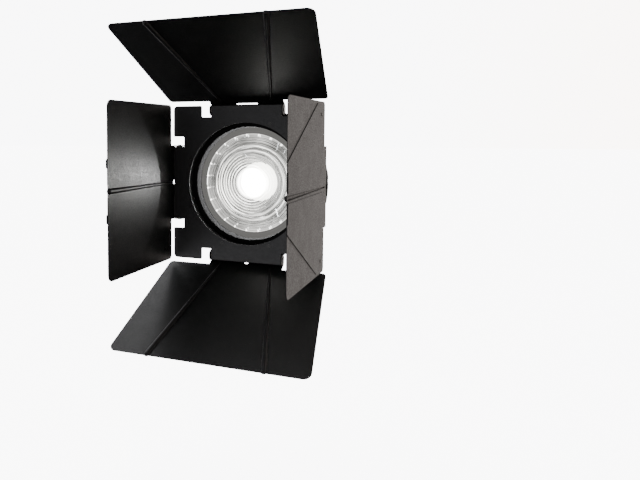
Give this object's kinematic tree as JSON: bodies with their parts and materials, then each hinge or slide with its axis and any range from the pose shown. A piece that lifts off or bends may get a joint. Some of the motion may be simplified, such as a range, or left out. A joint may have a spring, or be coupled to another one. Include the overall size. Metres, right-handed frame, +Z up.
{
  "type": "fresnel spotlight",
  "caption": "Round fresnel lens head with a fluted zoom drum, rear bayonet and hinged barn doors on a turning ring.",
  "frame": {"origin": "on the optical axis, on the seat face of the rear bayonet", "axes": "-Y is the way the light leaves, +Y points back into the lamp, +Z is up, +X is to the right seen from the front along +Y"},
  "size_m": [0.4252, 0.5029, 0.6696],
  "materials": {
    "moulded_black": "fine spark-eroded black moulding",
    "cast_black": "black powder coat on die casting",
    "leaf_paint": "fine black texture coat on aluminium sheet",
    "black_anodised": "black anodised aluminium",
    "optical_glass": "pressed clear glass, polished",
    "seal_rubber": "black silicone",
    "machined_aluminium": "machined, bare",
    "zinc_steel": "zinc plated",
    "bush_brass": "turned",
    "bearing_nylon": "natural, low friction"
  },
  "bodies": {
    "head": {"front_ring": "moulded_black", "lens_gasket": "seal_rubber", "fresnel_lens": "optical_glass", "lens_retainer": "black_anodised", "lens_cell_screws": "zinc_steel", "barrel": "black_anodised", "claws": "cast_black", "claw_screws": "zinc_steel", "latch_base": "cast_black", "rear_cover": "moulded_black", "rear_cover_screws": "zinc_steel", "bayonet_ring": "machined_aluminium", "bayonet_screws": "zinc_steel", "latch_spring": "zinc_steel"},
    "zoom_drum": {"zoom_drum": "moulded_black", "cam_sleeve": "machined_aluminium", "glide_rings": "bearing_nylon", "drum_screws": "zinc_steel"},
    "lens_carriage_body": {"lens_carriage": "black_anodised", "condenser_lens": "optical_glass", "condenser_retainer": "black_anodised", "cam_rollers": "bush_brass", "roller_pins": "zinc_steel"},
    "latch": {"latch_claw": "cast_black", "latch_pull": "moulded_black", "latch_pull_screws": "zinc_steel"},
    "door_frame": {"door_plate": "leaf_paint", "door_ring": "leaf_paint", "ring_rivets": "leaf_paint", "hinge_pins": "zinc_steel", "friction_washers": "bearing_nylon"},
    "top_leaf_body": {"top_leaf": "leaf_paint"},
    "bottom_leaf_body": {"bottom_leaf": "leaf_paint"},
    "left_leaf_body": {"left_leaf": "leaf_paint", "left_wing_rivets": "leaf_paint"},
    "right_leaf_body": {"right_leaf": "leaf_paint", "right_wing_rivets": "leaf_paint"},
    "left_upper_wing_body": {"left_upper_wing": "leaf_paint"},
    "left_lower_wing_body": {"left_lower_wing": "leaf_paint"},
    "right_upper_wing_body": {"right_upper_wing": "leaf_paint"},
    "right_lower_wing_body": {"right_lower_wing": "leaf_paint"}
  },
  "joints": [
    {"name": "zoom_turn", "type": "hinge", "parent": "head", "child": "zoom_drum", "pos_m": [0, -0.065, 0], "axis": [0, 1, 0], "range_deg": [0, 80]},
    {"name": "carriage_slide", "type": "slide", "parent": "head", "child": "lens_carriage_body", "axis": [0, 1, 0], "range_m": [0, 0.04]},
    {"name": "latch_slide", "type": "slide", "parent": "head", "child": "latch", "axis": [0.7071, 0, 0.7071], "range_m": [0, 0.01], "stiffness_N_per_m": 900, "springref_m": -0.004, "deforming": ["latch_spring"]},
    {"name": "door_turn", "type": "hinge", "parent": "head", "child": "door_frame", "pos_m": [0, -0.165, 0], "axis": [0, 1, 0], "continuous": true},
    {"name": "top_leaf_hinge", "type": "hinge", "parent": "door_frame", "child": "top_leaf_body", "pos_m": [0, -0.191, 0.1673], "axis": [-1, 0, 0], "range_deg": [-23, 49]},
    {"name": "bottom_leaf_hinge", "type": "hinge", "parent": "door_frame", "child": "bottom_leaf_body", "pos_m": [0, -0.191, -0.1673], "axis": [1, 0, 0], "range_deg": [-23, 49]},
    {"name": "left_leaf_hinge", "type": "hinge", "parent": "door_frame", "child": "left_leaf_body", "pos_m": [-0.1673, -0.191, 0], "axis": [0, 0, -1], "range_deg": [-72, 80]},
    {"name": "right_leaf_hinge", "type": "hinge", "parent": "door_frame", "child": "right_leaf_body", "pos_m": [0.1673, -0.191, 0], "axis": [0, 0, 1], "range_deg": [-90, 80]},
    {"name": "left_upper_wing_pivot", "type": "hinge", "parent": "left_leaf_body", "child": "left_upper_wing_body", "pos_m": [-0.1818, -0.241, 0.153], "axis": [-1, 0, 0], "range_deg": [0, 40]},
    {"name": "left_lower_wing_pivot", "type": "hinge", "parent": "left_leaf_body", "child": "left_lower_wing_body", "pos_m": [-0.1818, -0.241, -0.153], "axis": [1, 0, 0], "range_deg": [0, 40]},
    {"name": "right_upper_wing_pivot", "type": "hinge", "parent": "right_leaf_body", "child": "right_upper_wing_body", "pos_m": [0.1818, -0.241, 0.153], "axis": [-1, 0, 0], "range_deg": [0, 40]},
    {"name": "right_lower_wing_pivot", "type": "hinge", "parent": "right_leaf_body", "child": "right_lower_wing_body", "pos_m": [0.1818, -0.241, -0.153], "axis": [1, 0, 0], "range_deg": [0, 40]}
  ],
  "couplings": [
    {"joint": "carriage_slide", "follows": "zoom_turn", "m_per_rad": 0.028648}
  ]
}
